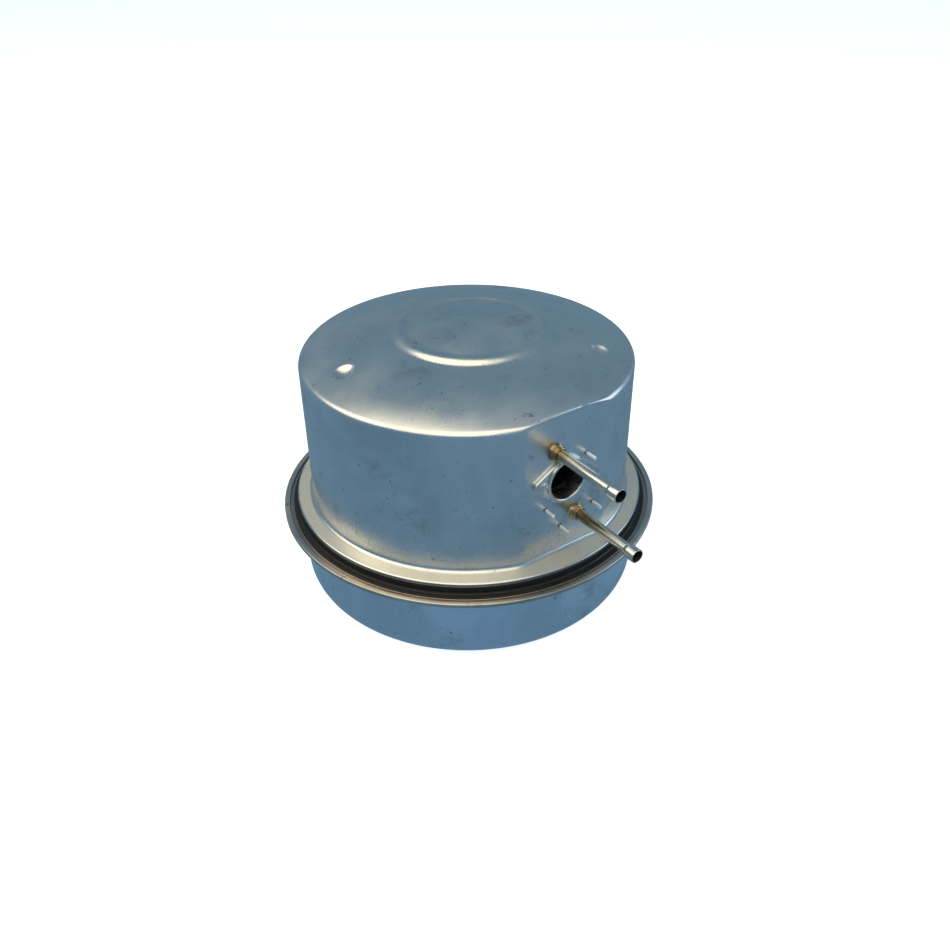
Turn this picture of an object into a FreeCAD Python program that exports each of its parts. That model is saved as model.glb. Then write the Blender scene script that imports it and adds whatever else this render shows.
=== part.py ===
import FreeCAD, Part
import math
import os

from FreeCAD import Vector

# Air filter housing: a round two-piece stainless canister. The origin is the centre of the bowl's
# underside, +Z runs up the canister's axis, and the port face looks along -Y. Millimetres.

os.makedirs("parts", exist_ok=True)

SHEET = 1.2

# Upper housing
CAN_R = 100.0
TOP_Z = 164.3
CROWN_FLAT_R = 35.0
CROWN_ARC_R = 164.5
TOP_CORNER_R = 4.5
FLAT_Y = 95.5
FOOT_Z = 61.5
FOOT_CORNER_R = 3.0
FOOT_R = 110.0
FOOT_ROLL_R = 2.0
SKIRT_Z = 58.6
BOSS_X = 2.4
BOSS_Y = -1.8
BOSS_Z = 163.8
BOSS_R = 48.0
BOSS_CREST_R = 43.6
BOSS_RISE = 2.8
GROOVE_Z_RISE = 1.8
DOME_R = 37.8
DOME_RISE = 5.5
DIMPLE_AT_R = 79.5
DIMPLE_R = 6.5
DIMPLE_DEPTH = 2.4
DIMPLE_ANGLES = (176.8, -47.3, 38.7)
BALL_R = (DIMPLE_R ** 2 + DIMPLE_DEPTH ** 2) / (2.0 * DIMPLE_DEPTH)

# Lower bowl
BOWL_R = 107.5
BOWL_CORNER_R = 14.5
BOWL_FLANGE_Z = 52.4
BOWL_FLANGE_R = 117.8
LIP_IN_R = 113.5
LIP_OUT_R = 114.3
LIP_Z = 53.2
RECESS_R = 17.0
RECESS_Z = 11.0
INLET_R = 14.0
INLET_Z = 27.0

# Rim band
BAND_R = 119.2
BAND_IN_R = 115.4
BAND_TOP_Z = 53.7

# Outlet port on the flat
PORT_X = 0.0
PORT_Z = 110.0
PORT_R = 11.8
NECK_WALL = 1.2
NECK_BACK_Y = 86.0
PLATE_THICK = 2.0
PLATE_HUB_R = 14.6
EAR_AT = 19.2
EAR_R = 3.3
EAR_TILT = -6.0
LIP_R = 13.9
LIP_PROUD = 1.0

# Hose tubes
TUBE_R = 3.175
TUBE_BORE_R = 2.475
SOCKET_R = 4.05
SOCKET_BORE_R = 3.45
SOCKET_LEN = 6.5
TUBE_OUT_Y = 147.2
TUBE_IN_Y = 89.0
UPPER_TUBE_XZ = (-7.6, 130.0)
LOWER_TUBE_XZ = (8.8, 84.2)
COLLAR_R = 4.9
COLLAR_LEN = 4.4
BRAZE_R = 5.8

# Weld pins on the flat: x and z of each
STUD_XZ = ((14.7, 121.4), (21.5, 85.6), (-13.1, 93.8), (-2.1, 78.4))
STUD_R = 1.0
STUD_LEN = 7.5

# Filter element
GASKET_IN_R = 93.4
ELEMENT_R = 93.4
ELEMENT_LOW_Z = 38.0
ELEMENT_TOP_Z = 74.0
PLEAT_PITCH = 6.0
FOLD_THICK = 2.0
SLEEVE_R = 9.0

# Centre bolt, under the axis
BOLT_R = 4.0
BOLT_BORE_R = 4.06
BOLT_TOP_Z = 96.0
NUT_Z = 82.0
NUT_TALL = 8.0


def save(node, shape):
    shape.exportStep("parts/" + node + ".step")


def spin(points):
    """Solid of revolution about Z from (radius, z) points joined by lines."""
    wire = Part.makePolygon([Vector(r, 0, z) for r, z in points + [points[0]]])
    return Part.Face(wire).revolve(Vector(0, 0, 0), Vector(0, 0, 1), 360)


def crown(radius):
    """Height of the crowned top plate, and its slope in radians, at one distance from the axis."""
    slope = math.asin(max(radius - CROWN_FLAT_R, 0.0) / CROWN_ARC_R)
    return TOP_Z - CROWN_ARC_R * (1.0 - math.cos(slope)), slope


def ring(inner_r, outer_r, low_z, high_z):
    outer = Part.makeCylinder(outer_r, high_z - low_z, Vector(0, 0, low_z))
    return outer.cut(Part.makeCylinder(inner_r, high_z - low_z, Vector(0, 0, low_z)))


def along_port(x, z, radius, from_y, to_y):
    """Cylinder parallel to the port, from one distance in front of the axis to another."""
    return Part.makeCylinder(radius, to_y - from_y, Vector(x, -from_y, z), Vector(0, -1, 0))


def port_spin(x, z, points):
    """Solid of revolution about a line parallel to the port, from (radius, distance) points."""
    wire = Part.makePolygon([Vector(r, 0, d) for r, d in points + [points[0]]])
    solid = Part.Face(wire).revolve(Vector(0, 0, 0), Vector(0, 0, 1), 360)
    solid.rotate(Vector(0, 0, 0), Vector(1, 0, 0), 90)
    solid.translate(Vector(x, 0, z))
    return solid


def polar(radius, degrees, z=0.0):
    angle = math.radians(degrees)
    return Vector(radius * math.cos(angle), radius * math.sin(angle), z)


def circles_at(shape, z, radius, gap=0.05):
    """Round edges of a turned shape at one height and radius."""
    found = []
    for edge in shape.Edges:
        curve = edge.Curve
        if curve.TypeId == "Part::GeomCircle" and abs(curve.Radius - radius) < gap:
            if abs(edge.BoundBox.ZMin - z) < gap and abs(edge.BoundBox.ZMax - z) < gap:
                found.append(edge)
    return found


def dome_cap(base_r, rise, plane_z):
    """Low spherical cap standing on a plane."""
    ball_r = (base_r ** 2 + rise ** 2) / (2.0 * rise)
    centre_z = plane_z + rise - ball_r
    cap = Part.makeSphere(ball_r, Vector(0, 0, centre_z))
    keep = Part.makeCylinder(base_r + 1.0, rise + 1.0, Vector(0, 0, plane_z))
    return cap.common(keep)


def boss(plate_z, inset):
    """Raised round boss on the top plate: sloping side, shallow groove and a low dome."""
    rise = BOSS_RISE
    floor = GROOVE_Z_RISE
    side = spin([
        (0, plate_z - 1.2),
        (BOSS_R + 1.6 - inset * 0.6, plate_z - 1.2),
        (BOSS_CREST_R + 1.2 - inset * 0.6, plate_z + rise - 0.4),
        (BOSS_CREST_R + 0.4 - inset * 0.6, plate_z + rise),
        (BOSS_CREST_R - 0.6 - inset * 0.6, plate_z + rise),
        (BOSS_CREST_R - 1.8 - inset * 0.6, plate_z + floor),
        (0, plate_z + floor),
    ])
    whole = side.fuse(dome_cap(DOME_R - inset * 0.4, DOME_RISE, plate_z + floor))
    whole.translate(Vector(BOSS_X, BOSS_Y, 0))
    return whole


def dimple_ball(degrees):
    """Centre of the ball that presses one dimple square to the crowned plate."""
    plate_z, slope = crown(DIMPLE_AT_R)
    out = BALL_R - DIMPLE_DEPTH
    return polar(DIMPLE_AT_R + out * math.sin(slope), degrees, plate_z + out * math.cos(slope))


def can_block(inset):
    """The can as a filled block, with every face moved inwards by inset."""
    wall_r = CAN_R - inset
    top_z = TOP_Z - inset
    foot_z = FOOT_Z - inset
    foot_r = FOOT_R - inset
    low_z = SKIRT_Z
    arc_r = CROWN_ARC_R - inset
    arc_z = TOP_Z - CROWN_ARC_R
    corner_at = CAN_R - TOP_CORNER_R
    reach = CROWN_ARC_R - TOP_CORNER_R
    meet = math.asin((corner_at - CROWN_FLAT_R) / reach)
    corner_z = arc_z + reach * math.cos(meet)
    corner_r = TOP_CORNER_R - inset

    def on_arc(middle_r, middle_z, radius, turn):
        return Vector(middle_r + radius * math.sin(turn), 0, middle_z + radius * math.cos(turn))

    flat_end = Vector(CROWN_FLAT_R, 0, top_z)
    arc_mid = on_arc(CROWN_FLAT_R, arc_z, arc_r, meet / 2.0)
    arc_end = on_arc(CROWN_FLAT_R, arc_z, arc_r, meet)
    corner_mid = on_arc(corner_at, corner_z, corner_r, (meet + math.pi / 2.0) / 2.0)
    corner_end = Vector(wall_r, 0, corner_z)
    line = [Vector(0, 0, top_z), Vector(0, 0, low_z), Vector(foot_r, 0, low_z),
            Vector(foot_r, 0, foot_z), Vector(wall_r, 0, foot_z), corner_end]
    edges = [Part.makeLine(line[0], flat_end)]
    edges.append(Part.Arc(flat_end, arc_mid, arc_end).toShape())
    edges.append(Part.Arc(arc_end, corner_mid, corner_end).toShape())
    for first, second in zip(line[::-1][:-1], line[::-1][1:]):
        edges.append(Part.makeLine(first, second))
    profile = Part.Face(Part.Wire(edges))
    block = profile.revolve(Vector(0, 0, 0), Vector(0, 0, 1), 360)
    block = block.makeFillet(FOOT_CORNER_R + inset, circles_at(block, foot_z, wall_r))
    block = block.makeFillet(FOOT_ROLL_R - inset + 0.01, circles_at(block, foot_z, foot_r))
    block = block.fuse(boss(BOSS_Z - inset, inset))
    press = Part.makeBox(200, 60, 140, Vector(-100, -FLAT_Y + inset - 60, foot_z))
    inner_edge = []
    for edge in press.Edges:
        box = edge.BoundBox
        level = abs(box.ZMin - foot_z) < 0.01 and abs(box.ZMax - foot_z) < 0.01
        back = abs(box.YMin + FLAT_Y - inset) < 0.01 and abs(box.YMax + FLAT_Y - inset) < 0.01
        if level and back:
            inner_edge.append(edge)
    press = press.makeFillet(FOOT_CORNER_R + inset, inner_edge)
    reach_box = Part.makeBox(66.0, 60, 140, Vector(-33.0, -FLAT_Y + inset - 60, foot_z))
    block = block.cut(press.common(reach_box))
    for degrees in DIMPLE_ANGLES:
        block = block.cut(Part.makeSphere(BALL_R + inset, dimple_ball(degrees)))
    return block


# Upper housing: one drawn sheet, so it is the outer block less the inner block
port_hole = along_port(PORT_X, PORT_Z, PORT_R + NECK_WALL, 80, 130)
upper_housing = can_block(0.0).cut(can_block(SHEET)).cut(port_hole)
for x, z in (UPPER_TUBE_XZ, LOWER_TUBE_XZ):
    upper_housing = upper_housing.cut(along_port(x, z, TUBE_R, 80, 130))
save("upper_housing", upper_housing)

# Lower bowl: floor with a drawn-up recess, wall, rim flange and locating lip
flange_low = BOWL_FLANGE_Z - SHEET
bowl = spin([
    (0, RECESS_Z),
    (RECESS_R, RECESS_Z),
    (RECESS_R, 0),
    (BOWL_R, 0),
    (BOWL_R, flange_low),
    (BOWL_FLANGE_R, flange_low),
    (BOWL_FLANGE_R, BOWL_FLANGE_Z),
    (LIP_OUT_R, BOWL_FLANGE_Z),
    (LIP_OUT_R, LIP_Z),
    (LIP_IN_R, LIP_Z),
    (LIP_IN_R, BOWL_FLANGE_Z),
    (BOWL_R - SHEET, BOWL_FLANGE_Z),
    (BOWL_R - SHEET, SHEET),
    (RECESS_R + SHEET, SHEET),
    (RECESS_R + SHEET, RECESS_Z + SHEET),
    (0, RECESS_Z + SHEET),
])
bowl = bowl.makeFillet(BOWL_CORNER_R, circles_at(bowl, 0, BOWL_R))
bowl = bowl.makeFillet(BOWL_CORNER_R - SHEET, circles_at(bowl, SHEET, BOWL_R - SHEET))
bowl = bowl.makeFillet(2.4, circles_at(bowl, 0, RECESS_R))
bowl = bowl.makeFillet(1.2, circles_at(bowl, SHEET, RECESS_R + SHEET))
bowl = bowl.makeFillet(2.4, circles_at(bowl, RECESS_Z + SHEET, RECESS_R + SHEET))
bowl = bowl.makeFillet(1.2, circles_at(bowl, RECESS_Z, RECESS_R))
bowl = bowl.makeFillet(2.0, circles_at(bowl, flange_low, BOWL_R))
bowl = bowl.makeFillet(0.3, circles_at(bowl, LIP_Z, LIP_OUT_R))
inlet_out = Part.makeCylinder(INLET_R + SHEET, 10, Vector(0, 104.5, INLET_Z), Vector(0, 1, 0))
inlet_gap = Part.makeCylinder(INLET_R, 40, Vector(0, 90, INLET_Z), Vector(0, 1, 0))
bowl_inside = Part.makeCylinder(BOWL_R - SHEET, BOWL_FLANGE_Z, Vector(0, 0, 0))
bowl = bowl.fuse(inlet_out.cut(bowl_inside)).cut(inlet_gap)
bowl = bowl.cut(Part.makeCylinder(BOLT_BORE_R, 20, Vector(0, 0, 2)))
save("lower_bowl", bowl)

# Rim band: angle-section ring wrapped over the edge of the bowl's flange
band = spin([
    (BAND_IN_R, BOWL_FLANGE_Z),
    (BOWL_FLANGE_R, BOWL_FLANGE_Z),
    (BOWL_FLANGE_R, flange_low),
    (BAND_R, flange_low),
    (BAND_R, BAND_TOP_Z),
    (BAND_IN_R, BAND_TOP_Z),
])
band = band.makeFillet(0.7, circles_at(band, BAND_TOP_Z, BAND_R))
band = band.makeFillet(0.4, circles_at(band, BAND_TOP_Z, BAND_IN_R))
save("rim_band", band)

# Moulded rubber rim of the element: fills the skirt, then spreads to a thin outer ring
foot_inside_z = FOOT_Z - SHEET
gasket = spin([
    (GASKET_IN_R, BOWL_FLANGE_Z - 6.0),
    (BOWL_R - SHEET - 1.0, BOWL_FLANGE_Z - 6.0),
    (BOWL_R - SHEET - 1.0, BOWL_FLANGE_Z),
    (LIP_IN_R - 0.5, BOWL_FLANGE_Z),
    (LIP_IN_R - 0.5, BOWL_FLANGE_Z + 0.7),
    (FOOT_R + 0.2, BOWL_FLANGE_Z + 0.9),
    (FOOT_R - 0.4, BOWL_FLANGE_Z + 1.5),
    (FOOT_R - 0.4, SKIRT_Z),
    (FOOT_R - SHEET - 0.2, SKIRT_Z),
    (FOOT_R - SHEET - 0.2, foot_inside_z - 1.2),
    (FOOT_R - SHEET - 1.8, foot_inside_z),
    (CAN_R + 5.0, foot_inside_z),
    (CAN_R + 1.0, foot_inside_z - 3.0),
    (GASKET_IN_R, foot_inside_z - 3.0),
])
save("rim_gasket", gasket)

# Stiff ring bonded round the pleats
element_ring = ring(ELEMENT_R - 1.5, ELEMENT_R, ELEMENT_LOW_Z, ELEMENT_TOP_Z)
save("element_ring", element_ring)

# Pleated paper: one zigzag sheet trimmed to the round frame and to the centre sleeve
pleat_low = ELEMENT_LOW_Z + 2.0
pleat_high = ELEMENT_TOP_Z - 2.0
pleat_count = int(2 * (ELEMENT_R - 3.0) / PLEAT_PITCH)
first_x = -pleat_count * PLEAT_PITCH / 2.0
upper_side = []
lower_side = []
for step in range(2 * pleat_count + 1):
    x = first_x + step * PLEAT_PITCH / 2.0
    z = pleat_low if step % 2 == 0 else pleat_high - FOLD_THICK
    lower_side.append(Vector(x, -110, z))
    upper_side.append(Vector(x, -110, z + FOLD_THICK))
outline = lower_side + upper_side[::-1]
sheet = Part.Face(Part.makePolygon(outline + [outline[0]])).extrude(Vector(0, 220, 0))
paper_room = ring(SLEEVE_R, ELEMENT_R - 1.5, pleat_low - 1, pleat_high + 1)
save("element_media", sheet.common(paper_room))


def screen(low_z):
    """Flat guard with a rim, a hub and ribs, over one side of the pleats."""
    guard = ring(ELEMENT_R - 7.5, ELEMENT_R - 1.5, low_z, low_z + 1.6)
    guard = guard.fuse(ring(SLEEVE_R, SLEEVE_R + 5.0, low_z, low_z + 1.6))
    guard = guard.fuse(ring(48.0, 51.0, low_z, low_z + 1.6))
    for number in range(12):
        rib = Part.makeBox(ELEMENT_R - 16.0, 2.0, 1.6, Vector(SLEEVE_R + 3.0, -1.0, low_z))
        rib.rotate(Vector(0, 0, 0), Vector(0, 0, 1), number * 30.0)
        guard = guard.fuse(rib)
    return guard.removeSplitter()


save("element_upper_screen", screen(ELEMENT_TOP_Z - 1.6))
save("element_lower_screen", screen(ELEMENT_LOW_Z))

# Sleeve that lets the centre bolt pass through the element
save("element_sleeve", ring(BOLT_R + 1.5, SLEEVE_R, ELEMENT_LOW_Z, ELEMENT_TOP_Z))


def on_port(shape):
    """Turn a shape drawn with x across, y up and z outwards so that it faces -Y at the port."""
    shape.rotate(Vector(0, 0, 0), Vector(1, 0, 0), 90)
    shape.translate(Vector(PORT_X, 0, PORT_Z))
    return shape


def ear_centre(side):
    angle = math.radians(EAR_TILT)
    return Vector(side * EAR_AT * math.cos(angle), side * EAR_AT * math.sin(angle), 0)


# Outlet flange: a round hub and two small ears joined by straight tangent sides
hub = Part.makeCylinder(PLATE_HUB_R, PLATE_THICK, Vector(0, 0, FLAT_Y))
plate = hub
for side in (-1, 1):
    ear = ear_centre(side)
    plate = plate.fuse(Part.makeCylinder(EAR_R, PLATE_THICK, ear + Vector(0, 0, FLAT_Y)))
    along = math.atan2(ear.y, ear.x)
    lean = math.acos((PLATE_HUB_R - EAR_R) / EAR_AT)
    sides = []
    for radius, middle in ((PLATE_HUB_R, Vector(0, 0, 0)), (EAR_R, ear)):
        pair = []
        for turn in (lean, -lean):
            reach = Vector(math.cos(along + turn), math.sin(along + turn), 0)
            pair.append(middle + reach * radius)
        sides.append(pair)
    corners = [Vector(0, 0, 0), sides[0][0], sides[1][0], ear, sides[1][1], sides[0][1]]
    loop = Part.makePolygon([c + Vector(0, 0, FLAT_Y) for c in corners + [corners[0]]])
    plate = plate.fuse(Part.Face(loop).extrude(Vector(0, 0, PLATE_THICK)))
plate = plate.removeSplitter()
plate = plate.cut(Part.makeCylinder(PORT_R + NECK_WALL, 10, Vector(0, 0, FLAT_Y - 1)))
save("outlet_flange", on_port(plate))

# Outlet neck: tube through the wall, with its mouth rolled over the plate
face_y = FLAT_Y + PLATE_THICK
neck = port_spin(PORT_X, PORT_Z, [
    (PORT_R, NECK_BACK_Y),
    (PORT_R + NECK_WALL, NECK_BACK_Y),
    (PORT_R + NECK_WALL, face_y),
    (LIP_R - 0.2, face_y),
    (LIP_R, face_y + 0.3),
    (LIP_R - 0.35, face_y + 0.8),
    (LIP_R - 1.0, face_y + LIP_PROUD),
    (PORT_R + 0.5, face_y + LIP_PROUD - 0.1),
    (PORT_R, face_y + LIP_PROUD - 0.6),
])
save("outlet_neck", neck)

# Tack welds: a low blob on each ear, against the rolled mouth
tacks = []
for side in (-1, 1):
    ear = ear_centre(side)
    spot = ear * (1.0 - 2.6 / EAR_AT)
    blob = Part.makeSphere(4.2, spot + Vector(0, 0, face_y - 2.9))
    above = Part.makeCylinder(9.0, 4.0, spot + Vector(0, 0, face_y))
    mouth = Part.makeCylinder(LIP_R + 0.02, 4.0, Vector(0, 0, face_y))
    tacks.append(on_port(blob.common(above).cut(mouth)))
save("flange_tacks", Part.Compound(tacks))


def hose_tube(x, z):
    """Thin tube through the wall with its outer end widened into a socket."""
    neck_y = TUBE_OUT_Y - SOCKET_LEN
    return port_spin(x, z, [
        (TUBE_BORE_R, TUBE_IN_Y),
        (TUBE_R, TUBE_IN_Y),
        (TUBE_R, neck_y - 1.6),
        (SOCKET_R, neck_y),
        (SOCKET_R, TUBE_OUT_Y - 0.2),
        (SOCKET_R - 0.2, TUBE_OUT_Y),
        (SOCKET_BORE_R, TUBE_OUT_Y),
        (SOCKET_BORE_R, neck_y),
        (TUBE_BORE_R, neck_y - 1.6),
    ])


def tube_collar(x, z):
    """Ferrule round the tube's root, with a rounded front."""
    front_y = FLAT_Y + COLLAR_LEN
    return port_spin(x, z, [
        (TUBE_R, FLAT_Y),
        (COLLAR_R, FLAT_Y),
        (COLLAR_R, front_y - 1.4),
        (COLLAR_R - 0.25, front_y - 0.7),
        (COLLAR_R - 0.7, front_y - 0.2),
        (COLLAR_R - 1.1, front_y),
        (TUBE_R, front_y),
    ])


def tube_braze(x, z):
    """Fillet of braze between the ferrule and the flat."""
    return port_spin(x, z, [
        (COLLAR_R, FLAT_Y),
        (BRAZE_R, FLAT_Y),
        (COLLAR_R + 0.8, FLAT_Y + 0.3),
        (COLLAR_R + 0.3, FLAT_Y + 0.8),
        (COLLAR_R, FLAT_Y + 1.5),
    ])


for name, spot in (("upper", UPPER_TUBE_XZ), ("lower", LOWER_TUBE_XZ)):
    save(name + "_hose_tube", hose_tube(*spot))
    save(name + "_tube_collar", tube_collar(*spot))
    save(name + "_tube_braze", tube_braze(*spot))

# Weld pins and the flash ring at each pin's foot
studs = []
flashes = []
for x, z in STUD_XZ:
    studs.append(port_spin(x, z, [
        (0, FLAT_Y),
        (STUD_R, FLAT_Y),
        (STUD_R, FLAT_Y + STUD_LEN - 0.25),
        (STUD_R - 0.25, FLAT_Y + STUD_LEN),
        (0, FLAT_Y + STUD_LEN),
    ]))
    flashes.append(port_spin(x, z, [
        (STUD_R, FLAT_Y),
        (STUD_R + 0.42, FLAT_Y),
        (STUD_R + 0.36, FLAT_Y + 0.5),
        (STUD_R, FLAT_Y + 0.9),
    ]))
save("bracket_studs", Part.Compound(studs))
save("stud_weld_rings", Part.Compound(flashes))

# Inner bracket: a hub over the nut and three sloping legs up to the dimples
PAD_R = 6.0
ball = dimple_ball(0.0)
pad_at = ball.x
pad_top_z = ball.z - BALL_R - SHEET
pad_low_z = pad_top_z - 2.0
hub_top_z = NUT_Z + NUT_TALL + 2.0
bracket = Part.makeCylinder(17.0, 2.0, Vector(0, 0, NUT_Z + NUT_TALL))
leg_side = [
    Vector(12, -6, hub_top_z - 2.0),
    Vector(18, -6, hub_top_z - 2.0),
    Vector(pad_at - 5.0, -6, pad_low_z),
    Vector(pad_at, -6, pad_low_z),
    Vector(pad_at, -6, pad_top_z - 0.6),
    Vector(pad_at - 6.0, -6, pad_top_z - 0.6),
    Vector(17, -6, hub_top_z),
    Vector(12, -6, hub_top_z),
]
for degrees in DIMPLE_ANGLES:
    leg = Part.Face(Part.makePolygon(leg_side + [leg_side[0]])).extrude(Vector(0, 12, 0))
    leg.rotate(Vector(0, 0, 0), Vector(0, 0, 1), degrees)
    pad = Part.makeCylinder(PAD_R, 1.4, polar(pad_at, degrees, pad_low_z))
    bracket = bracket.fuse(leg).fuse(pad)
bracket = bracket.removeSplitter().cut(Part.makeCylinder(6.0, 30, Vector(0, 0, NUT_Z)))
save("inner_bracket", bracket)

# Spot welds: small discs of fused metal between the bracket's pads and the dimples
welds = []
for degrees in DIMPLE_ANGLES:
    foot = polar(pad_at, degrees, pad_top_z - 0.6)
    nugget = Part.makeCylinder(2.5, 1.2, foot)
    welds.append(nugget.cut(upper_housing))
save("bracket_spot_welds", Part.Compound(welds))

# Weld nut under the hub; the bolt's shank runs in it
nut_points = [polar(9.0, 60.0 * corner, NUT_Z) for corner in range(6)]
nut = Part.Face(Part.makePolygon(nut_points + [nut_points[0]])).extrude(Vector(0, 0, NUT_TALL))
save("weld_nut", nut.cut(Part.makeCylinder(BOLT_BORE_R, 20, Vector(0, 0, NUT_Z - 5))))

# Centre bolt: flanged hexagon head in the recess, with the washers between head and bowl
WASHER = 1.4
SEAL = 1.6
head_high = RECESS_Z - WASHER - SEAL
head_points = [polar(7.5, 60.0 * corner, head_high - 7.0) for corner in range(6)]
head = Part.Face(Part.makePolygon(head_points + [head_points[0]])).extrude(Vector(0, 0, 7.0))
shank = Part.makeCylinder(BOLT_R, BOLT_TOP_Z - head_high, Vector(0, 0, head_high))
shank = shank.makeChamfer(1.0, circles_at(shank, BOLT_TOP_Z, BOLT_R))
bolt = head.fuse(shank)
clip_z = RECESS_Z + SHEET + 0.3
bolt = bolt.cut(ring(BOLT_R - 0.6, BOLT_R + 2.0, clip_z, clip_z + 1.0))
save("centre_bolt", bolt)
save("bolt_washer", ring(BOLT_R, 11.0, head_high, head_high + WASHER))
save("sealing_washer", ring(BOLT_R, 10.0, head_high + WASHER, RECESS_Z - 0.03))

# Clip in the groove above the floor keeps the bolt with the bowl
clip = ring(BOLT_R - 0.6, BOLT_R + 2.6, clip_z, clip_z + 1.0)
clip = clip.cut(Part.makeBox(10, 3, 2, Vector(0, -1.5, clip_z - 0.5)))
save("bolt_clip", clip)
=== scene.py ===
import math

import bmesh
import bpy
from mathutils import Matrix, Vector, noise


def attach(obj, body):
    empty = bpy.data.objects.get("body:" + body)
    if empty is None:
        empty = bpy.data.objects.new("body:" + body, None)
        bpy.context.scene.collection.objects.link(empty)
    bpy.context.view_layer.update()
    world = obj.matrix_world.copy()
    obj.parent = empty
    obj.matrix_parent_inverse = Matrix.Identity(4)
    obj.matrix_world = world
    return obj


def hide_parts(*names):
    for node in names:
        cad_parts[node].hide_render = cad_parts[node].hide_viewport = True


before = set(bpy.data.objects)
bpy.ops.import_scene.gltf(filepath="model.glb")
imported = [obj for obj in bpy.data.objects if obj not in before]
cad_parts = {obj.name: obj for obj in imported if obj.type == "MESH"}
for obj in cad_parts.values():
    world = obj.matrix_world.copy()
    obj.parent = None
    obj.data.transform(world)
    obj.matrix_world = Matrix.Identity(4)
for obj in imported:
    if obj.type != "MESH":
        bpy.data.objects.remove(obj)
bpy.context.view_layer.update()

MM = 0.001
SHEET = 1.2

# Canister, in millimetres, as in the CAD
CAN_R = 100.0
TOP_Z = 164.3
CROWN_FLAT_R = 35.0
CROWN_ARC_R = 164.5
TOP_CORNER_R = 4.5
FLAT_Y = 95.5
FOOT_Z = 61.5
FOOT_CORNER_R = 3.0
FOOT_R = 110.0
FOOT_ROLL_R = 2.0
SKIRT_Z = 58.6
BOSS_X = 2.4
BOSS_Y = -1.8
BOSS_Z = 163.8
BOSS_R = 48.0
BOSS_CREST_R = 43.6
BOSS_RISE = 2.8
GROOVE_RISE = 1.8
DOME_R = 37.8
DOME_RISE = 5.5
DIMPLE_AT_R = 79.5
DIMPLE_DEPTH = 2.4
BALL_R = 10.0
DIMPLE_ANGLES = (176.8, -47.3, 38.7)
BOWL_FLANGE_Z = 52.4
BOWL_FLANGE_R = 117.8
LIP_IN_R = 113.5
BAND_R = 119.2
BAND_IN_R = 115.4
BAND_TOP_Z = 53.7
PORT_X = 0.0
PORT_Z = 110.0
PORT_R = 11.8
NECK_WALL = 1.2
LIP_R = 13.9
TUBE_OUT_Y = 147.2
UPPER_TUBE_XZ = (-7.6, 130.0)
LOWER_TUBE_XZ = (8.8, 84.2)
TUBE_R = 3.175
STUD_XZ = ((14.7, 121.4), (21.5, 85.6), (-13.1, 93.8), (-2.1, 78.4))


# ---------------------------------------------------------------- mesh helpers

def link(name, mesh):
    piece = bpy.data.objects.new(name, mesh)
    bpy.context.scene.collection.objects.link(piece)
    return piece


def smooth(mesh, sharp_degrees=38.0):
    for face in mesh.polygons:
        face.use_smooth = True
    mesh.set_sharp_from_angle(angle=math.radians(sharp_degrees))


def rounded(points, steps=5):
    """Closed outline of (r, z, corner radius) with each corner turned into an arc."""
    outline = []
    count = len(points)
    for index, (r, z, radius) in enumerate(points):
        here = Vector((r, z))
        if radius <= 0.0:
            outline.append(here)
            continue
        before = Vector(points[index - 1][:2]) - here
        after = Vector(points[(index + 1) % count][:2]) - here
        half = before.angle(after) / 2.0
        reach = min(radius / math.tan(half), before.length * 0.49, after.length * 0.49)
        radius = reach * math.tan(half)
        bisector = (before.normalized() + after.normalized()).normalized()
        centre = here + bisector * (radius / math.sin(half))
        first = here + before.normalized() * reach - centre
        last = here + after.normalized() * reach - centre
        sweep = first.angle_signed(last)
        for step in range(steps + 1):
            turned = first.copy()
            turned.rotate(Matrix.Rotation(-sweep * step / steps, 2))
            outline.append(centre + turned)
    return outline


def lathe(name, points, segments=192, port_at=None, steps=5, wobble=None):
    """Ring turned from a closed outline, about Z or about a line parallel to the port."""
    outline = rounded(points, steps)
    bm = bmesh.new()
    rings = []
    for number in range(segments):
        angle = 2.0 * math.pi * number / segments
        ring = []
        for r, d in outline:
            grow = 1.0
            if wobble is not None:
                grow = wobble(angle, r, d)
            x, y = r * grow * math.cos(angle), r * grow * math.sin(angle)
            if port_at is None:
                spot = (x * MM, y * MM, d * MM)
            else:
                spot = ((port_at[0] + x) * MM, -d * MM, (port_at[1] + y) * MM)
            ring.append(bm.verts.new(spot))
        rings.append(ring)
    for number in range(segments):
        here, there = rings[number], rings[(number + 1) % segments]
        for index in range(len(outline)):
            after = (index + 1) % len(outline)
            bm.faces.new((here[index], there[index], there[after], here[after]))
    bmesh.ops.remove_doubles(bm, verts=bm.verts, dist=1e-7)
    bmesh.ops.recalc_face_normals(bm, faces=bm.faces)
    mesh = bpy.data.meshes.new(name)
    bm.to_mesh(mesh)
    bm.free()
    smooth(mesh)
    return link(name, mesh)


def apply_modifiers(piece):
    graph = bpy.context.evaluated_depsgraph_get()
    mesh = bpy.data.meshes.new_from_object(piece.evaluated_get(graph))
    piece.modifiers.clear()
    piece.data = mesh


def softened(node, name, width_mm):
    """Copy of a CAD node with small rounded edges."""
    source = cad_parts[node]
    mesh = source.data.copy()
    bm = bmesh.new()
    bm.from_mesh(mesh)
    bm.transform(source.matrix_world)
    bmesh.ops.remove_doubles(bm, verts=bm.verts, dist=2e-6)
    bmesh.ops.dissolve_limit(bm, angle_limit=math.radians(1.0), verts=bm.verts, edges=bm.edges)
    mesh = bpy.data.meshes.new(name)
    bm.to_mesh(mesh)
    bm.free()
    piece = link(name, mesh)
    bevel = piece.modifiers.new("edge", "BEVEL")
    bevel.width = width_mm * MM
    bevel.segments = 3
    bevel.limit_method = "ANGLE"
    bevel.angle_limit = math.radians(35.0)
    apply_modifiers(piece)
    smooth(piece.data, 50.0)
    return piece


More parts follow.
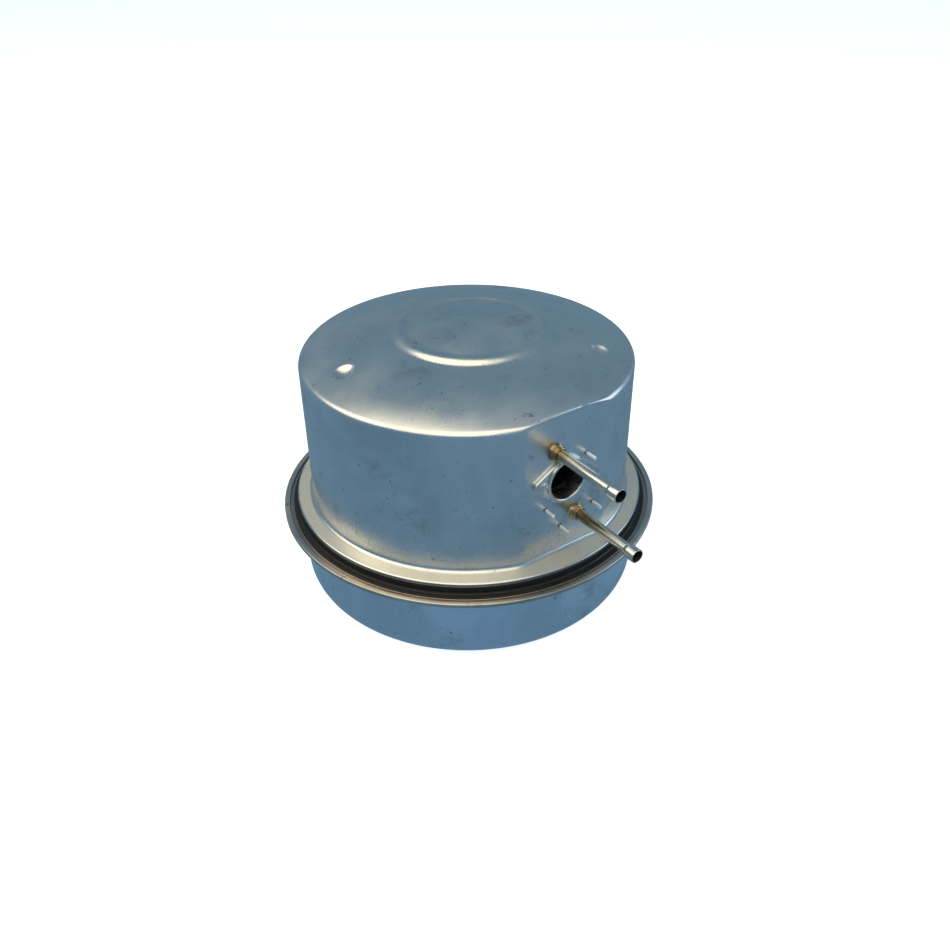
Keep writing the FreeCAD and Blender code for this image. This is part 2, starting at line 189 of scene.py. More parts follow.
def join(name, pieces):
    bm = bmesh.new()
    for piece in pieces:
        bm.from_mesh(piece.data)
        bpy.data.objects.remove(piece)
    mesh = bpy.data.meshes.new(name)
    bm.to_mesh(mesh)
    bm.free()
    smooth(mesh)
    return link(name, mesh)


# ---------------------------------------------------------------- node material helpers

class Shader:
    """Small builder for one principled material."""

    def __init__(self, name):
        self.material = bpy.data.materials.new(name)
        self.material.use_nodes = True
        self.tree = self.material.node_tree
        self.tree.nodes.clear()
        self.output = self.tree.nodes.new("ShaderNodeOutputMaterial")
        self.surface = self.tree.nodes.new("ShaderNodeBsdfPrincipled")
        self.join(self.surface.outputs[0], self.output.inputs["Surface"])
        self.where = self.tree.nodes.new("ShaderNodeTexCoord").outputs["Object"]

    def join(self, out_socket, in_socket):
        self.tree.links.new(out_socket, in_socket)

    def put(self, socket, value):
        target = self.surface.inputs[socket]
        if hasattr(value, "is_output"):
            self.join(value, target)
        else:
            target.default_value = value

    def stretch(self, scale, turn=(0.0, 0.0, 0.0)):
        node = self.tree.nodes.new("ShaderNodeMapping")
        node.inputs["Scale"].default_value = scale
        node.inputs["Rotation"].default_value = turn
        self.join(self.where, node.inputs["Vector"])
        return node.outputs[0]

    def noise(self, scale, detail=4.0, rough=0.55, where=None, distortion=0.0):
        node = self.tree.nodes.new("ShaderNodeTexNoise")
        node.inputs["Scale"].default_value = scale
        node.inputs["Detail"].default_value = detail
        node.inputs["Roughness"].default_value = rough
        node.inputs["Distortion"].default_value = distortion
        self.join(where or self.where, node.inputs["Vector"])
        return node.outputs["Fac"]

    def ramp(self, value, low, high, start=0.0, end=1.0):
        node = self.tree.nodes.new("ShaderNodeMapRange")
        node.interpolation_type = "SMOOTHSTEP"
        node.inputs["From Min"].default_value = low
        node.inputs["From Max"].default_value = high
        node.inputs["To Min"].default_value = start
        node.inputs["To Max"].default_value = end
        self.join(value, node.inputs["Value"])
        return node.outputs[0]

    def math(self, kind, first, second):
        node = self.tree.nodes.new("ShaderNodeMath")
        node.operation = kind
        for index, value in enumerate((first, second)):
            if hasattr(value, "is_output"):
                self.join(value, node.inputs[index])
            else:
                node.inputs[index].default_value = value
        return node.outputs[0]

    def mix(self, factor, first, second):
        node = self.tree.nodes.new("ShaderNodeMix")
        node.data_type = "RGBA"
        for index, value in ((0, factor), (6, first), (7, second)):
            if hasattr(value, "is_output"):
                self.join(value, node.inputs[index])
            elif index == 0:
                node.inputs[index].default_value = value
            else:
                node.inputs[index].default_value = (*value, 1.0)
        return node.outputs[2]

    def bump(self, height, strength, distance):
        node = self.tree.nodes.new("ShaderNodeBump")
        node.inputs["Strength"].default_value = strength
        node.inputs["Distance"].default_value = distance
        self.join(height, node.inputs["Height"])
        self.join(node.outputs[0], self.surface.inputs["Normal"])

    def axis(self, letter):
        node = self.tree.nodes.new("ShaderNodeSeparateXYZ")
        self.join(self.where, node.inputs[0])
        return node.outputs[letter]

    def facing(self, letter):
        geometry = self.tree.nodes.new("ShaderNodeNewGeometry")
        node = self.tree.nodes.new("ShaderNodeSeparateXYZ")
        self.join(geometry.outputs["Normal"], node.inputs[0])
        return node.outputs[letter]


def steel(name, dark, light, stain, rough=(0.25, 0.36), stain_share=0.45, painted_up_sheen=None,
          painted_shade_z=None, painted_sheen_z=None):
    """Drawn stainless sheet: cloudy tone, draw lines, grease spots and fine specks; optionally also
    painted light: a painted warm sheen on upward faces, a painted shade band between two heights, and a
    painted warm sheen on upward faces between two other heights.
    """
    s = Shader(name)
    clouds = s.noise(14.0, 5.0, 0.6, distortion=0.6)
    tone = s.mix(s.ramp(clouds, 0.34, 0.66), dark, light)
    draw_lines = s.noise(1.0, 3.0, 0.6, s.stretch((620.0, 620.0, 16.0)))
    tone = s.mix(s.ramp(draw_lines, 0.45, 0.75, 0.0, 0.22), tone, light)
    # painted highlight: faces turned upwards are mixed towards a warm tint, standing in for the warm
    # reflection of the light overhead
    if painted_up_sheen is not None:
        tilt = s.ramp(s.facing("Z"), 0.55, 0.95, 0.0, 0.55)
        tone = s.mix(tilt, tone, painted_up_sheen)
    patches = s.ramp(s.noise(34.0, 6.0, 0.66, distortion=0.15), 0.56, 0.74, 0.0, stain_share)
    tone = s.mix(patches, tone, stain)
    spots = s.ramp(s.noise(95.0, 3.0, 0.6), 0.66, 0.74, 0.0, 0.6)
    tone = s.mix(spots, tone, stain)
    specks = s.ramp(s.noise(260.0, 2.0, 0.6), 0.70, 0.76, 0.0, 0.7)
    tone = s.mix(specks, tone, stain)
    # painted shade: a dark band between two heights, standing in for the shade in the rim joint
    if painted_shade_z is not None:
        low, high, share, colour = painted_shade_z
        level_z = s.axis("Z")
        inside = s.math("MULTIPLY", s.ramp(level_z, low * MM - 0.0006, low * MM),
                        s.ramp(level_z, high * MM, high * MM + 0.0006, 1.0, 0.0))
        tone = s.mix(s.math("MULTIPLY", inside, share), tone, colour)
    # painted highlight: upward faces between the two heights turn warm tan and less metallic, standing
    # in for the warm reflection on the flange top
    if painted_sheen_z is not None:
        low, high, share, colour = painted_sheen_z
        level_z = s.axis("Z")
        inside = s.math("MULTIPLY", s.ramp(level_z, (low - 0.3) * MM, low * MM),
                        s.ramp(level_z, high * MM, (high + 0.3) * MM, 1.0, 0.0))
        painted_sheen = s.math("MULTIPLY", inside, s.ramp(s.facing("Z"), 0.93, 0.985, 0.0, share))
        tone = s.mix(painted_sheen, tone, colour)
        s.put("Metallic", s.math("SUBTRACT", 1.0, s.math("MULTIPLY", painted_sheen, 0.75)))
    else:
        s.put("Metallic", 1.0)
    s.put("Base Color", tone)
    smears = s.noise(30.0, 5.0, 0.65, distortion=0.2)
    level = s.ramp(smears, 0.3, 0.72, rough[0], rough[1])
    level = s.math("ADD", level, s.math("MULTIPLY", patches, 0.16))
    s.put("Roughness", level)
    s.put("Anisotropic", 0.25)
    grain = s.noise(900.0, 2.0, 0.5)
    waves = s.noise(22.0, 2.0, 0.5)
    height = s.math("ADD", s.math("MULTIPLY", grain, 0.05), s.math("MULTIPLY", draw_lines, 0.06))
    height = s.math("ADD", height, s.math("MULTIPLY", waves, 1.0))
    s.bump(height, 0.5, 0.00028)
    return s.material


def plain_metal(name, dark, light, rough=(0.2, 0.34), grain_scale=700.0, bump=0.3, metallic=1.0):
    s = Shader(name)
    tone = s.mix(s.ramp(s.noise(120.0, 4.0, 0.6), 0.3, 0.7), dark, light)
    s.put("Base Color", tone)
    s.put("Roughness", s.ramp(s.noise(160.0, 3.0, 0.6), 0.3, 0.7, rough[0], rough[1]))
    s.put("Metallic", metallic)
    s.bump(s.noise(grain_scale, 2.0, 0.5), bump, 0.00006)
    return s.material


def tube_metal(name, root, root_end_mm, tint_mm, metal_dark, metal_light, tints):
    """Thin tube, heat tinted at its root: brown, then straw, then bare metal."""
    s = Shader(name)
    scratch = s.noise(1.0, 3.0, 0.6, s.stretch((500.0, 30.0, 500.0)))
    bare = s.mix(s.ramp(scratch, 0.35, 0.7), metal_dark, metal_light)
    cloud = s.math("MULTIPLY", s.noise(170.0, 4.0, 0.6), 8.0 * MM)
    out = s.math("SUBTRACT", s.math("MULTIPLY", s.axis("Y"), -1.0), cloud)
    near = s.ramp(out, (root + root_end_mm) * MM, (root + root_end_mm + tint_mm) * MM)
    far = s.ramp(out, (root + root_end_mm) * MM, (root + 34.0) * MM)
    tone = s.mix(near, tints[0], tints[1])
    tone = s.mix(far, tone, bare)
    s.put("Base Color", tone)
    s.put("Roughness", s.ramp(scratch, 0.3, 0.7, 0.16, 0.30))
    s.put("Metallic", 1.0)
    s.bump(scratch, 0.25, 0.00005)
    return s.material


def rubber(name):
    s = Shader(name)
    dust = s.ramp(s.noise(150.0, 5.0, 0.65), 0.52, 0.78, 0.0, 0.22)
    s.put("Base Color", s.mix(dust, (0.006, 0.006, 0.005), (0.045, 0.040, 0.030)))
    s.put("Roughness", s.ramp(s.noise(90.0, 4.0, 0.6), 0.3, 0.7, 0.42, 0.62))
    s.bump(s.noise(800.0, 3.0, 0.6), 0.35, 0.00012)
    return s.material


def paper(name):
    s = Shader(name)
    fibres = s.noise(1.0, 5.0, 0.7, s.stretch((900.0, 240.0, 900.0)))
    tone = s.mix(s.ramp(fibres, 0.3, 0.7), (0.60, 0.49, 0.27), (0.78, 0.68, 0.44))
    dirt = s.ramp(s.noise(38.0, 5.0, 0.6), 0.50, 0.75, 0.0, 0.45)
    s.put("Base Color", s.mix(dirt, tone, (0.33, 0.27, 0.17)))
    s.put("Roughness", 0.88)
    s.bump(fibres, 0.5, 0.0002)
    return s.material


def moulded(name):
    s = Shader(name)
    s.put("Base Color", s.mix(s.noise(60.0, 4.0, 0.6), (0.022, 0.022, 0.024), (0.050, 0.050, 0.052)))
    s.put("Roughness", s.ramp(s.noise(200.0, 3.0, 0.6), 0.3, 0.7, 0.38, 0.55))
    s.bump(s.noise(1200.0, 2.0, 0.5), 0.35, 0.0001)
    return s.material


# ---------------------------------------------------------------- upper housing

def soft_min(first, second, blend):
    gap = max(blend - abs(first - second), 0.0) / blend
    return min(first, second) - gap * gap * blend * 0.25


def arc(centre_r, centre_z, radius, start, end, steps):
    """Points on an arc; angles in degrees from the outward direction."""
    made = []
    for step in range(steps + 1):
        angle = math.radians(start + (end - start) * step / steps)
        made.append((centre_r + radius * math.cos(angle), centre_z + radius * math.sin(angle)))
    return made


def crown(radius):
    """Height of the top plate, and its slope in radians, at one distance from the axis."""
    slope = math.asin(max(radius - CROWN_FLAT_R, 0.0) / CROWN_ARC_R)
    return TOP_Z - CROWN_ARC_R * (1.0 - math.cos(slope)), slope


EDGE_ROLL_R = 1.5


def housing_outline():
    """(radius, height, zone) down the outer skin, from near the axis to the skirt's edge."""
    radii = [2.0 + 2.0 * k for k in range(17)]
    radii += [35.0 + 0.55 * k for k in range(34)]
    radii += [54.0 + 2.8 * k for k in range(6)]
    radii += [69.0 + 0.75 * k for k in range(36)]
    line = [(r, crown(r)[0], "top") for r in radii]
    corner_at = CAN_R - TOP_CORNER_R
    reach = CROWN_ARC_R - TOP_CORNER_R
    meet = math.asin((corner_at - CROWN_FLAT_R) / reach)
    corner_z = TOP_Z - CROWN_ARC_R + reach * math.cos(meet)
    start = 90.0 - math.degrees(meet)
    line += [(r, z, "wall") for r, z in arc(corner_at, corner_z, TOP_CORNER_R, start, 0.0, 14)]
    foot_top = FOOT_Z + FOOT_CORNER_R
    rows = 50
    for row in range(1, rows):
        line.append((CAN_R, corner_z + (foot_top - corner_z) * row / rows, "wall"))
    foot_arc = arc(CAN_R + FOOT_CORNER_R, foot_top, FOOT_CORNER_R, 180.0, 262.0, 9)
    line += [(r, z, "foot") for r, z in foot_arc]
    roll = arc(FOOT_R - EDGE_ROLL_R, FOOT_Z - 0.7 - EDGE_ROLL_R, EDGE_ROLL_R, 76.0, 0.0, 8)
    first, last = foot_arc[-1], roll[0]
    for step in range(1, 6):
        share = step / 6
        line.append((first[0] + (last[0] - first[0]) * share,
                     first[1] + (last[1] - first[1]) * share, "flange"))
    line += [(r, z, "rim") for r, z in roll]
    line.append((FOOT_R, SKIRT_Z, "rim"))
    return line


def blend_step(value, low, high):
    share = min(max((value - low) / (high - low), 0.0), 1.0)
    return share * share * (3.0 - 2.0 * share)


def top_height(x, y):
    """Height of the top plate with its boss, groove, dome and dimples."""
    height = crown(math.hypot(x, y))[0]
    r = math.hypot(x - BOSS_X, y - BOSS_Y)
    if r < BOSS_R + 2.5:
        side = BOSS_RISE - 0.4 - 0.75 * (r - BOSS_CREST_R - 1.2)
        side = soft_min(side, BOSS_RISE, 1.3)
        floor = GROOVE_RISE + (BOSS_RISE + 0.1 - GROOVE_RISE) * blend_step(r, 38.6, 43.4)
        side = min(side, floor)
        cap = GROOVE_RISE + DOME_RISE * (1.0 - (r / DOME_R) ** 2)
        side = -soft_min(-side, -cap, 0.35)
        height = -soft_min(-height, -(BOSS_Z + side), 0.9)
    for degrees in DIMPLE_ANGLES:
        turn = math.radians(degrees)
        plate_z, slope = crown(DIMPLE_AT_R)
        out = BALL_R - DIMPLE_DEPTH
        ball_at = DIMPLE_AT_R + out * math.sin(slope)
        ball_z = plate_z + out * math.cos(slope)
        gap = math.hypot(x - ball_at * math.cos(turn), y - ball_at * math.sin(turn))
        if gap < BALL_R * 0.98:
            height = soft_min(height, ball_z - math.sqrt(BALL_R ** 2 - gap ** 2), 0.4)
    return height


def column_angles():
    """Angles round the housing, closer together across the flat and the dimples."""
    angles = []
    angle = -180.0
    while angle < 179.99:
        angles.append(angle)
        fine = abs(angle + 90.0) < 27.0
        for degrees in DIMPLE_ANGLES:
            gap = (angle - degrees + 180.0) % 360.0 - 180.0
            fine = fine or abs(gap) < 7.0
        angle += 0.5 if fine else 1.5
    return angles


FLAT_BLEND = 1.1


def upper_housing_skin():
    angles = column_angles()
    outline = housing_outline()
    bm = bmesh.new()
    centre = bm.verts.new((0.0, 0.0, top_height(0.0, 0.0) * MM))
    columns = []
    for degrees in angles:
        turn = math.radians(degrees)
        off_flat = (degrees + 90.0 + 180.0) % 360.0 - 180.0
        plane_r = 1e6
        if abs(off_flat) < 60.0:
            plane_r = FLAT_Y / math.cos(math.radians(off_flat))
        wall_loss = CAN_R - soft_min(CAN_R, plane_r, FLAT_BLEND)
        column = []
        for r, z, zone in outline:
            reach = r
            if zone in ("top", "wall") and r > 80.0:
                reach = soft_min(r, plane_r, FLAT_BLEND)
            elif zone == "foot":
                reach = r - wall_loss
            elif zone == "flange":
                share = (FOOT_R - EDGE_ROLL_R - r) / (FOOT_R - EDGE_ROLL_R - CAN_R - 2.0)
                reach = r - wall_loss * min(max(share, 0.0), 1.0)
            x, y = reach * math.cos(turn), reach * math.sin(turn)
            if zone == "top" and r < 94.0:
                z = top_height(x, y)
            column.append(bm.verts.new((x * MM, y * MM, z * MM)))
        columns.append(column)
    for number, here in enumerate(columns):
        there = columns[(number + 1) % len(columns)]
        bm.faces.new((centre, here[0], there[0]))
        for index in range(len(outline) - 1):
            bm.faces.new((here[index], here[index + 1], there[index + 1], there[index]))
    bmesh.ops.recalc_face_normals(bm, faces=bm.faces)
    mesh = bpy.data.meshes.new("upper_housing_skin")
    bm.to_mesh(mesh)
    bm.free()
    return link("upper_housing_skin", mesh)


def drill(piece, x, z, radius):
    bpy.ops.mesh.primitive_cylinder_add(
        vertices=96, radius=radius * MM, depth=0.05,
        location=(x * MM, -FLAT_Y * MM, z * MM), rotation=(math.pi / 2.0, 0.0, 0.0))
    cutter = bpy.context.object
    hole = piece.modifiers.new("hole", "BOOLEAN")
    hole.operation = "DIFFERENCE"
    hole.solver = "EXACT"
    hole.object = cutter
    apply_modifiers(piece)
    bpy.data.objects.remove(cutter)


housing = upper_housing_skin()
thick = housing.modifiers.new("sheet", "SOLIDIFY")
thick.thickness = SHEET * MM
thick.offset = -1.0
apply_modifiers(housing)
drill(housing, PORT_X, PORT_Z, PORT_R + NECK_WALL - 0.02)
for tube_x, tube_z in (UPPER_TUBE_XZ, LOWER_TUBE_XZ):
    drill(housing, tube_x, tube_z, TUBE_R - 0.02)
smooth(housing.data, 42.0)
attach(housing, "upper_half")
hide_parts("upper_housing")


# ---------------------------------------------------------------- rim band and gasket

FLANGE_Z = BOWL_FLANGE_Z
band = lathe("rim_band_ring", [
    (BAND_IN_R, FLANGE_Z + 0.02, 0.2), (BOWL_FLANGE_R + 0.1, FLANGE_Z + 0.02, 0.0),
    (BOWL_FLANGE_R + 0.1, FLANGE_Z - SHEET, 0.1), (BAND_R - 0.04, FLANGE_Z - SHEET, 0.5),
    (BAND_R - 0.04, BAND_TOP_Z, 0.8), (BAND_IN_R, BAND_TOP_Z, 0.5)], 256,
    wobble=lambda angle, r, d: 1.0 - 0.0006 * (1.0 + math.sin(angle * 5.0 + 0.7)) * (r > 117.0))
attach(band, "lower_half")
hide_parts("rim_band")

inside_z = FOOT_Z - SHEET
gasket = lathe("rim_gasket_ring", [
    (93.4, 46.4, 0.4), (105.3, 46.4, 0.6), (105.3, FLANGE_Z, 0.0), (LIP_IN_R - 0.5, FLANGE_Z, 0.1),
    (LIP_IN_R - 0.5, FLANGE_Z + 0.7, 0.3), (FOOT_R + 0.3, FLANGE_Z + 0.9, 0.6),
    (FOOT_R - 0.4, FLANGE_Z + 1.9, 0.8), (FOOT_R - 0.4, SKIRT_Z - 0.05, 0.4),
    (FOOT_R - SHEET - 0.2, SKIRT_Z - 0.05, 0.2), (FOOT_R - SHEET - 0.2, inside_z - 1.2, 0.4),
    (FOOT_R - SHEET - 1.8, inside_z, 0.6), (CAN_R + 5.0, inside_z, 0.6),
    (CAN_R + 1.0, inside_z - 3.0, 1.2), (93.4, inside_z - 3.0, 0.6)], 256)
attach(gasket, "filter_element")
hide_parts("rim_gasket")


# ---------------------------------------------------------------- port

FACE_Y = FLAT_Y + 2.0
neck = lathe("outlet_neck_lip", [
    (PORT_R, 86.0, 0.2), (PORT_R + 1.18, 86.0, 0.2), (PORT_R + 1.18, FACE_Y, 0.0),
    (LIP_R, FACE_Y, 0.3), (LIP_R, FACE_Y + 1.0, 0.75), (PORT_R, FACE_Y + 1.0, 1.0)],
    128, (PORT_X, PORT_Z), 7,
    wobble=lambda angle, r, d: 1.0 - 0.005 * (d > FACE_Y) * (r > 13.0) * (1.0 + math.sin(angle * 4.0)))
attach(neck, "upper_half")
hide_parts("outlet_neck")

plate = softened("outlet_flange", "outlet_flange_plate", 0.45)
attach(plate, "upper_half")
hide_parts("outlet_flange")


def weld_blob(name, x, y, z, size, seed):
    """Lumpy frozen weld, flattened against the plate."""
    bpy.ops.mesh.primitive_ico_sphere_add(subdivisions=5, radius=1.0)
    blob = bpy.context.object
    blob.name = name
    for vertex in blob.data.vertices:
        spot = vertex.co.copy()
        ripple = noise.noise(spot * 1.7 + Vector((seed, 0.0, 0.0))) * 0.35
        ripple += noise.noise(spot * 4.0 + Vector((0.0, seed, 0.0))) * 0.12
        spot *= 1.0 + ripple
        vertex.co = Vector((
            (x + spot.x * size[0]) * MM, (y + spot.y * size[1]) * MM, (z + spot.z * size[2]) * MM))
    smooth(blob.data, 180.0)
    return blob


EAR_SPOT = 16.6
tilt = math.radians(-6.0)
blobs = []
for side, seed in ((-1, 3.1), (1, 8.4)):
    ear_x = PORT_X + side * EAR_SPOT * math.cos(tilt)
    ear_z = PORT_Z + side * EAR_SPOT * math.sin(tilt)
    blobs.append(weld_blob("tack", ear_x, -FACE_Y, ear_z, (2.5, 1.05, 2.2), seed))
    blobs.append(weld_blob("tack", ear_x - side * 2.4, -FACE_Y, ear_z - 1.4, (1.5, 0.85, 1.5), seed + 2))
tacks = join("flange_tack_welds", blobs)
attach(tacks, "upper_half")
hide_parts("flange_tacks")


# ---------------------------------------------------------------- hose tubes and pins

def bead_wobble(angle, r, d):
    return 1.0 + 0.02 * (r > 5.2) * (math.sin(angle * 3.0 + 0.4) + 0.5 * math.sin(angle * 7.0))


for prefix, spot in (("upper", UPPER_TUBE_XZ), ("lower", LOWER_TUBE_XZ)):
    tube = lathe(prefix + "_tube_body", [
        (2.475, 89.0, 0.1), (3.155, 89.0, 0.1), (3.155, TUBE_OUT_Y - 8.1, 1.5),
        (4.05, TUBE_OUT_Y - 6.5, 1.5), (4.05, TUBE_OUT_Y, 0.28), (3.45, TUBE_OUT_Y, 0.2),
        (3.45, TUBE_OUT_Y - 6.5, 0.6), (2.475, TUBE_OUT_Y - 8.1, 0.6)],
        96, spot, 6)
    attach(tube, "upper_half")
    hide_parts(prefix + "_hose_tube")
    collar = lathe(prefix + "_collar_ring", [
        (3.175, FLAT_Y, 0.0), (4.9, FLAT_Y, 0.0), (4.9, FLAT_Y + 1.9, 0.5),
        (4.3, FLAT_Y + 2.3, 0.35), (4.3, FLAT_Y + 4.4, 0.9), (3.175, FLAT_Y + 4.4, 0.0)],
        96, spot, 6)
    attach(collar, "upper_half")
    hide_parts(prefix + "_tube_collar")
    braze = lathe(prefix + "_braze_ring", [
        (4.85, FLAT_Y, 0.0), (5.6, FLAT_Y, 0.1), (5.4, FLAT_Y + 0.3, 0.3),
        (4.95, FLAT_Y + 1.5, 0.1), (4.85, FLAT_Y + 1.5, 0.0)], 96, spot, 6, bead_wobble)
    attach(braze, "upper_half")
    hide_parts(prefix + "_tube_braze")

pins, flashes = [], []
for number, spot in enumerate(STUD_XZ):
    pins.append(lathe("pin", [
        (0.0, FLAT_Y, 0.0), (1.0, FLAT_Y, 0.0), (1.0, FLAT_Y + 7.5, 0.22), (0.0, FLAT_Y + 7.5, 0.0)],
        48, spot))
    flashes.append(lathe("flash", [
        (0.95, FLAT_Y, 0.0), (1.38, FLAT_Y, 0.1), (1.32, FLAT_Y + 0.5, 0.2), (0.95, FLAT_Y + 0.9, 0.1)],
        48, spot, 5, lambda angle, r, d: 1.0 + 0.03 * (r > 1.2) * math.sin(angle * 3.0)))
pins = join("bracket_pins", pins)
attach(pins, "upper_half")
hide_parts("bracket_studs")
flashes = join("pin_weld_flash", flashes)
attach(flashes, "upper_half")
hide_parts("stud_weld_rings")


# ---------------------------------------------------------------- materials

HOUSING_DARK = (0.58, 0.61, 0.63)
HOUSING_LIGHT = (0.74, 0.76, 0.77)
STAIN = (0.20, 0.21, 0.21)
# tint of the painted warm sheen on the housing's upward faces
WARM = (0.72, 0.69, 0.63)
housing_steel = steel("housing_steel", HOUSING_DARK, HOUSING_LIGHT, STAIN, painted_up_sheen=WARM,
                      # painted shade on the skirt's lower edge beside the gasket
                      painted_shade_z=(SKIRT_Z - 0.5, FOOT_Z - 1.6, 0.75, (0.16, 0.14, 0.12)),
                      # painted warm sheen on the flange top
                      painted_sheen_z=(FOOT_Z - 1.4, FOOT_Z + 0.2, 0.75, (0.70, 0.64, 0.52)))
# the blue tint of the bowl's tone is a painted reflection of blue surroundings
bowl_steel = steel("bowl_steel", (0.60, 0.68, 0.76), (0.76, 0.84, 0.92), STAIN, rough=(0.28, 0.38),
                   # painted shade on the bowl's flange and lip inside the rim joint
                   painted_shade_z=(BOWL_FLANGE_Z - 0.4, 60.0, 0.85, (0.38, 0.27, 0.18)))
band_steel = steel("band_steel", (0.42, 0.38, 0.33), (0.62, 0.57, 0.50), (0.14, 0.09, 0.05),
                   rough=(0.30, 0.45), stain_share=0.7)
port_metal = plain_metal("port_metal", (0.62, 0.63, 0.61), (0.86, 0.86, 0.82), (0.24, 0.38))
tinted = plain_metal("heat_tint", (0.26, 0.16, 0.07), (0.66, 0.50, 0.28), (0.16, 0.3), 500.0)
upper_tube_metal = tube_metal("upper_tube_metal", 100.0, 0.0, 4.0, (0.62, 0.61, 0.57),
                              (0.88, 0.85, 0.78), ((0.52, 0.36, 0.18), (0.70, 0.62, 0.47)))
lower_tube_metal = tube_metal("lower_tube_metal", 100.0, 4.0, 12.0, (0.60, 0.57, 0.50),
                              (0.84, 0.80, 0.72), ((0.34, 0.23, 0.12), (0.56, 0.45, 0.29)))
pin_metal = plain_metal("pin_metal", (0.80, 0.82, 0.83), (0.95, 0.95, 0.94), (0.26, 0.38),
                        metallic=0.6)
copper_metal = plain_metal("copper_flash", (0.22, 0.12, 0.08), (0.46, 0.30, 0.22))
zinc_metal = plain_metal("zinc_plate", (0.50, 0.52, 0.50), (0.68, 0.69, 0.66), (0.26, 0.42), 400.0)
black_rubber = rubber("black_rubber")
filter_paper = paper("filter_paper")
black_plastic = moulded("black_plastic")


def dress(piece, material):
    piece.data.materials.clear()
    piece.data.materials.append(material)


for piece, material in (
        (housing, housing_steel), (band, band_steel), (gasket, black_rubber), (neck, port_metal),
        (plate, port_metal), (tacks, port_metal), (pins, pin_metal), (flashes, copper_metal)):
    dress(piece, material)
# painted shade: the bore faces near each tube's open end get a near-black material, standing in for the
# shade inside the bore
bore_shade = plain_metal("tube_bore_shade", (0.05, 0.045, 0.04), (0.12, 0.10, 0.08), (0.5, 0.7))
spots = {"upper": UPPER_TUBE_XZ, "lower": LOWER_TUBE_XZ}
for prefix, material in (("upper", upper_tube_metal), ("lower", lower_tube_metal)):
    body = bpy.data.objects[prefix + "_tube_body"]
    dress(body, material)
    body.data.materials.append(bore_shade)
    x, z = spots[prefix]
    for face in body.data.polygons:
        out = Vector((face.center.x - x * MM, 0.0, face.center.z - z * MM))
        if out.dot(face.normal) < 0.0 and out.length < 3.5 * MM and face.center.y < -0.1:
            face.material_index = 1
    dress(bpy.data.objects[prefix + "_collar_ring"], tinted)
    dress(bpy.data.objects[prefix + "_braze_ring"], tinted)
NODE_MATERIALS = {
    "lower_bowl": bowl_steel,
    "element_ring": black_plastic,
    "element_media": filter_paper,
    "element_upper_screen": black_plastic,
    "element_lower_screen": black_plastic,
    "element_sleeve": black_plastic,
    "inner_bracket": zinc_metal,
    "bracket_spot_welds": zinc_metal,
    "weld_nut": zinc_metal,
    "centre_bolt": zinc_metal,
    "bolt_washer": zinc_metal,
    "sealing_washer": black_rubber,
    "bolt_clip": zinc_metal,
}
for node, material in NODE_MATERIALS.items():
    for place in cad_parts[node].material_slots:
        place.material = material


# ---------------------------------------------------------------- stage, light and camera

def floor_material():
    material = bpy.data.materials.new("pale_floor")
    material.use_nodes = True
    shader = material.node_tree.nodes["Principled BSDF"]
    shader.inputs["Base Color"].default_value = (0.92, 0.92, 0.92, 1.0)
    shader.inputs["Roughness"].default_value = 0.9
    shader.inputs["Specular IOR Level"].default_value = 0.0
    shader.inputs["Emission Color"].default_value = (1.0, 1.0, 1.0, 1.0)
    shader.inputs["Emission Strength"].default_value = 0.75
    return material


bpy.ops.mesh.primitive_plane_add(size=14.0, location=(0.0, 0.0, 0.0))
floor = bpy.context.object
floor.name = "stage_floor"
floor.data.materials.append(floor_material())
floor.visible_glossy = False

# Direction towards the camera in plan, and the viewer's right
TOWARDS = Vector((-0.5582, -0.8297, 0.0))
RIGHT = Vector((0.8297, -0.5582, 0.0))


def world_light(colour):
    """Even surround of one pale cool colour."""
    world = bpy.data.worlds.new("surround")
    bpy.context.scene.world = world
    world.use_nodes = True
    glow = world.node_tree.nodes["Background"]
    glow.inputs["Color"].default_value = (*colour, 1.0)
    glow.inputs["Strength"].default_value = 1.0


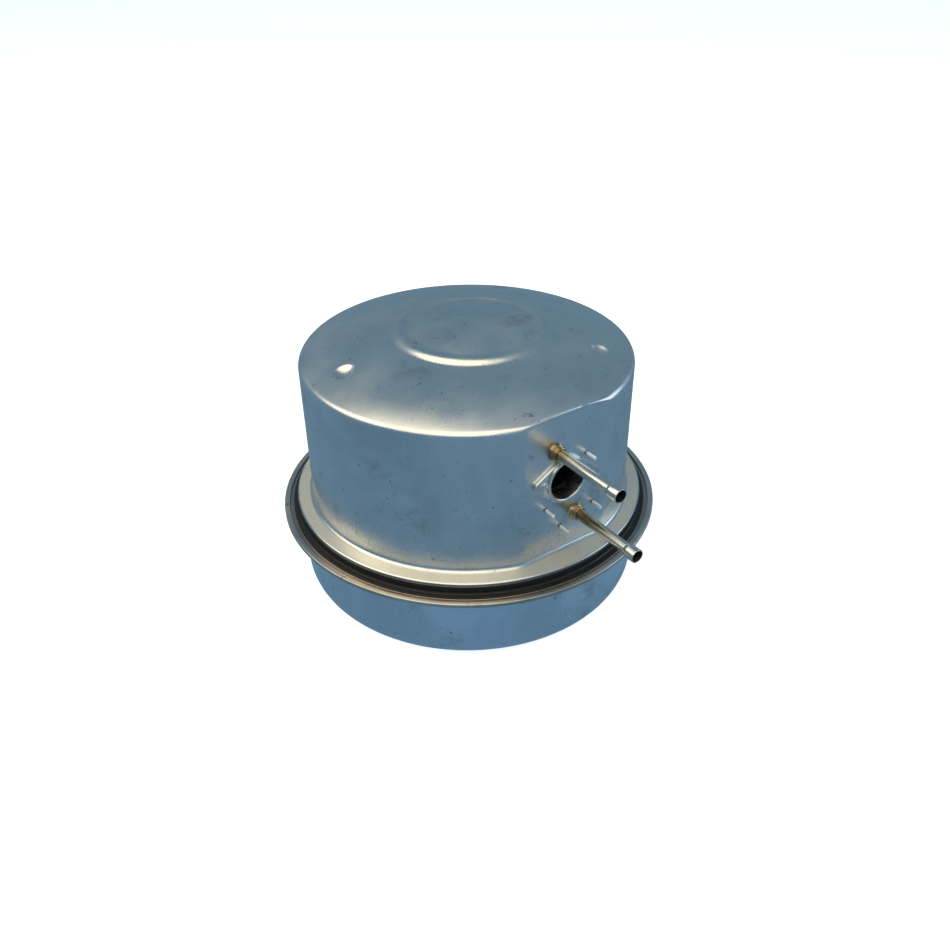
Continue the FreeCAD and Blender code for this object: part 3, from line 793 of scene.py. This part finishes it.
def backdrop():
    """Pale shell behind everything, seen by the eye alone."""
    bpy.ops.mesh.primitive_uv_sphere_add(segments=64, ring_count=32, radius=6.9)
    shell = bpy.context.object
    shell.name = "stage_backdrop"
    material = bpy.data.materials.new("pale_backdrop")
    material.use_nodes = True
    shader = material.node_tree.nodes["Principled BSDF"]
    shader.inputs["Base Color"].default_value = (0.0, 0.0, 0.0, 1.0)
    shader.inputs["Specular IOR Level"].default_value = 0.0
    shader.inputs["Emission Color"].default_value = (1.0, 1.0, 1.0, 1.0)
    shader.inputs["Emission Strength"].default_value = 1.0
    shell.data.materials.append(material)
    shell.visible_glossy = False
    shell.visible_diffuse = False
    shell.visible_shadow = False
    shell.visible_transmission = False


def soft_box(name, place, aim, size, power, colour):
    data = bpy.data.lights.new(name, "AREA")
    data.shape = "RECTANGLE"
    data.size, data.size_y = size
    data.energy = power
    data.color = colour
    lamp = bpy.data.objects.new(name, data)
    bpy.context.scene.collection.objects.link(lamp)
    lamp.location = place
    lamp.rotation_euler = (Vector(aim) - Vector(place)).to_track_quat("-Z", "Y").to_euler()
    lamp.visible_camera = False
    return lamp


COOL = (0.15, 0.26, 0.36)
WARM_WHITE = (1.0, 0.85, 0.60)
COOL_WHITE = (0.85, 0.95, 1.0)
UP = Vector((0.0, 0.0, 1.0))
AIM = (0.0, 0.0, 0.1)

world_light(COOL)
backdrop()
soft_box("overhead", UP * 1.4 + TOWARDS * 0.5 - RIGHT * 0.3, AIM, (2.4, 1.8), 20.0, WARM_WHITE)
soft_box("left_side", UP * 1.1 - RIGHT * 1.3, AIM, (0.9, 0.9), 5.0, WARM_WHITE)
soft_box("right_side", UP * 0.5 + RIGHT * 1.5, AIM, (1.2, 0.8), 4.0, COOL_WHITE)

camera_data = bpy.data.cameras.new("camera")
camera_data.lens = 35.759
camera_data.sensor_width = 36.0
camera_data.clip_start = 0.01
camera_data.clip_end = 50.0
camera = bpy.data.objects.new("camera", camera_data)
bpy.context.scene.collection.objects.link(camera)
camera_right = Vector((0.821281, -0.570436, -0.010030))
camera_up = Vector((0.322999, 0.450400, 0.832353))
camera_back = -Vector((0.470286, 0.686836, -0.554155))
turn = Matrix((camera_right, camera_up, camera_back)).transposed().to_4x4()
camera.matrix_world = Matrix.Translation((-0.285456, -0.424308, 0.400808)) @ turn
bpy.context.scene.camera = camera
bpy.context.scene.view_settings.view_transform = "Standard"
